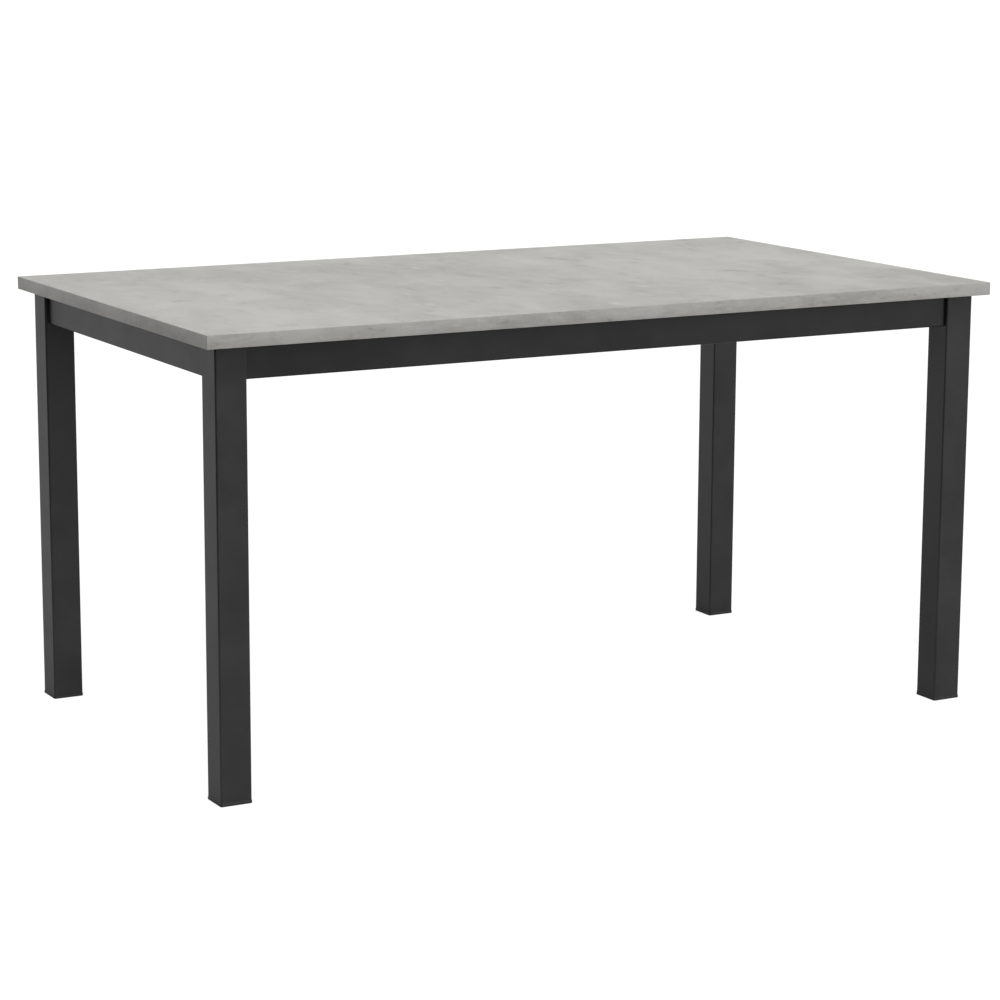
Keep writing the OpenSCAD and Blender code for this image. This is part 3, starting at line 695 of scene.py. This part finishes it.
def makePlugs(side):
    # black caps pressed into the open ends of the tube that pulls out
    low, high = [Vector(corner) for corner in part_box("end_apron_" + side)]
    inset = Vector((plug["wall"] + plug["gap"], 0, plug["wall"] + plug["gap"]))
    bm = bmesh.new()
    for outer, inner in ((low.y + plug["sunk"], low.y + plug["depth"]),
                         (high.y - plug["sunk"], high.y - plug["depth"])):
        start, stop = low + inset, high - inset
        start.y, stop.y = min(outer, inner), max(outer, inner)
        addBlock(bm, start, stop)
        face = min(bm.faces, key=lambda f: abs(f.calc_center_median().y - outer))
        bmesh.ops.inset_region(bm, faces=[face], thickness=plug["dishInset"], depth=0)
        bmesh.ops.inset_region(bm, faces=[face], thickness=plug["round"], depth=-plug["dishDepth"])
    finishPiece(side + ".tubePlugs", bm, polypropylene, "frame_" + side)


for side in ("left", "right"):
    makePlugs(side)
print("welds and plugs made")


# ---- camera, light and floor ----

camera = {"place": (-2.521, -4.586, 1.393), "yaw": 28.76, "pitch": -11.15, "roll": -0.26,
          "lens": 106.8, "sensor": 36.0, "farEnd": 400}


def makeCamera():
    data = bpy.data.cameras.new("camera")
    data.lens = camera["lens"]
    data.sensor_width = camera["sensor"]
    data.clip_end = camera["farEnd"]
    holder = bpy.data.objects.new("camera", data)
    bpy.context.scene.collection.objects.link(holder)
    turn = (Matrix.Rotation(math.radians(-camera["yaw"]), 4, "Z")
            @ Matrix.Rotation(math.radians(90 + camera["pitch"]), 4, "X")
            @ Matrix.Rotation(math.radians(-camera["roll"]), 4, "Z"))
    holder.matrix_world = Matrix.Translation(camera["place"]) @ turn
    bpy.context.scene.camera = holder


light = {
    "sky": 0.4, "flag": 0.03, "flagTowards": (-0.8, -0.6, 0.0), "flagFrom": 0.5, "flagTo": 0.75,
    "flagNear": 1.4, "flagFar": 2.0,
    "bright": 0.55, "brightTowards": (-0.6, 0.75, 0.25), "fill": 0.75, "fillTowards": (0.5, -0.85, 0.1),
    "sunStrength": 1.73, "sunAngle": 90, "sunTilt": (45, 0),
    "floorGlow": 0.93, "floorShadow": "#6d6d6d", "floorBounce": 0.05, "floorWhite": "#b4b4b4",
    "floorSize": 400, "floorGap": 0.3 * mm, "floorRoughness": 0.9,
}


def addFlag(tree, place, start, stop):
    # black cloth beside the camera, hung up and laid on the floor, keeps the corners facing it dark
    towards = Vector(light["flagTowards"]).normalized()
    side = addNode(tree, "VectorMath", {"operation": "DOT_PRODUCT"}, {0: place, 1: towards})
    return addNode(tree, "MapRange", {"interpolation_type": "SMOOTHSTEP"}, {
        "Value": side.outputs["Value"], "From Min": start, "From Max": stop,
        "To Min": 1.0, "To Max": light["flag"]})


def makeLight():
    world = bpy.data.worlds.new("studio")
    bpy.context.scene.world = world
    world.use_nodes = True
    tree = world.node_tree
    tree.nodes.clear()
    direction = addNode(tree, "TexCoord").outputs["Generated"]
    strength = addNode(tree, "Value")
    strength.outputs[0].default_value = light["sky"]
    for lamp in ("bright", "fill"):
        towards = Vector(light[lamp + "Towards"]).normalized()
        side = addNode(tree, "VectorMath", {"operation": "DOT_PRODUCT"}, {0: direction, 1: towards})
        glow = addNode(tree, "MapRange", values={
            "Value": side.outputs["Value"], "From Min": 0.0, "From Max": 1.0,
            "To Min": 0.0, "To Max": light[lamp]})
        strength = addNode(tree, "Math", {"operation": "ADD"}, {0: strength, 1: glow})
    flag = addFlag(tree, direction, light["flagFrom"], light["flagTo"])
    strength = addNode(tree, "Math", {"operation": "MULTIPLY"}, {0: strength, 1: flag})
    sky = addNode(tree, "Background", values={"Color": (1, 1, 1, 1), "Strength": strength})
    backdrop = addNode(tree, "Background", values={"Color": (1, 1, 1, 1), "Strength": 1.0})
    rays = addNode(tree, "LightPath")
    chosen = addNode(tree, "MixShader", values={0: rays.outputs["Is Camera Ray"], 1: sky, 2: backdrop})
    addNode(tree, "OutputWorld", values={"Surface": chosen})

    sun = bpy.data.lights.new("overheadSoftbox", "SUN")
    sun.energy = light["sunStrength"]
    sun.angle = math.radians(light["sunAngle"])
    holder = bpy.data.objects.new("overheadSoftbox", sun)
    tiltX, tiltY = light["sunTilt"]
    holder.rotation_euler = (math.radians(tiltX), math.radians(tiltY), 0)
    bpy.context.scene.collection.objects.link(holder)


def makeFloor():
    # lit from below so that it shows plain white, and clear when it is looked at from underneath
    bm = bmesh.new()
    bmesh.ops.create_grid(bm, x_segments=1, y_segments=1, size=light["floorSize"] / 2)
    # clear of the feet's soles
    bmesh.ops.translate(bm, vec=(0, 0, -light["floorGap"]), verts=bm.verts)
    mesh = bpy.data.meshes.new("studioFloor")
    bm.to_mesh(mesh)
    bm.free()
    floor = bpy.data.objects.new("studioFloor", mesh)
    bpy.context.scene.collection.objects.link(floor)
    material, tree, shader, coords = startMaterial("backlitWhiteAcrylic")
    seen = addNode(tree, "LightPath").outputs["Is Camera Ray"]
    glow = addNode(tree, "Mix", values={0: seen, 2: light["floorBounce"], 3: light["floorGlow"]})
    flag = addFlag(tree, coords.outputs["Object"], light["flagNear"], light["flagFar"])
    white = addNode(tree, "Mix", {"data_type": "RGBA"}, {
        0: flag, 6: (0, 0, 0, 1), 7: toLinear(light["floorWhite"])})
    paint = addNode(tree, "Mix", {"data_type": "RGBA"}, {
        0: seen, 6: white, 7: toLinear(light["floorShadow"])})
    tree.links.new(paint.outputs[2], shader.inputs["Base Color"])
    shader.inputs["Roughness"].default_value = light["floorRoughness"]
    shader.inputs["Specular IOR Level"].default_value = 0.0
    shader.inputs["Emission Color"].default_value = (1, 1, 1, 1)
    tree.links.new(glow.outputs[0], shader.inputs["Emission Strength"])
    clear = addNode(tree, "BsdfTransparent")
    below = addNode(tree, "NewGeometry").outputs["Backfacing"]
    output = next(node for node in tree.nodes if node.bl_idname == "ShaderNodeOutputMaterial")
    mixed = addNode(tree, "MixShader", values={0: below, 1: shader, 2: clear})
    tree.links.new(mixed.outputs[0], output.inputs["Surface"])
    mesh.materials.append(material)


makeCamera()
makeLight()
makeFloor()
bpy.context.scene.view_settings.view_transform = "Standard"
print("stage made")
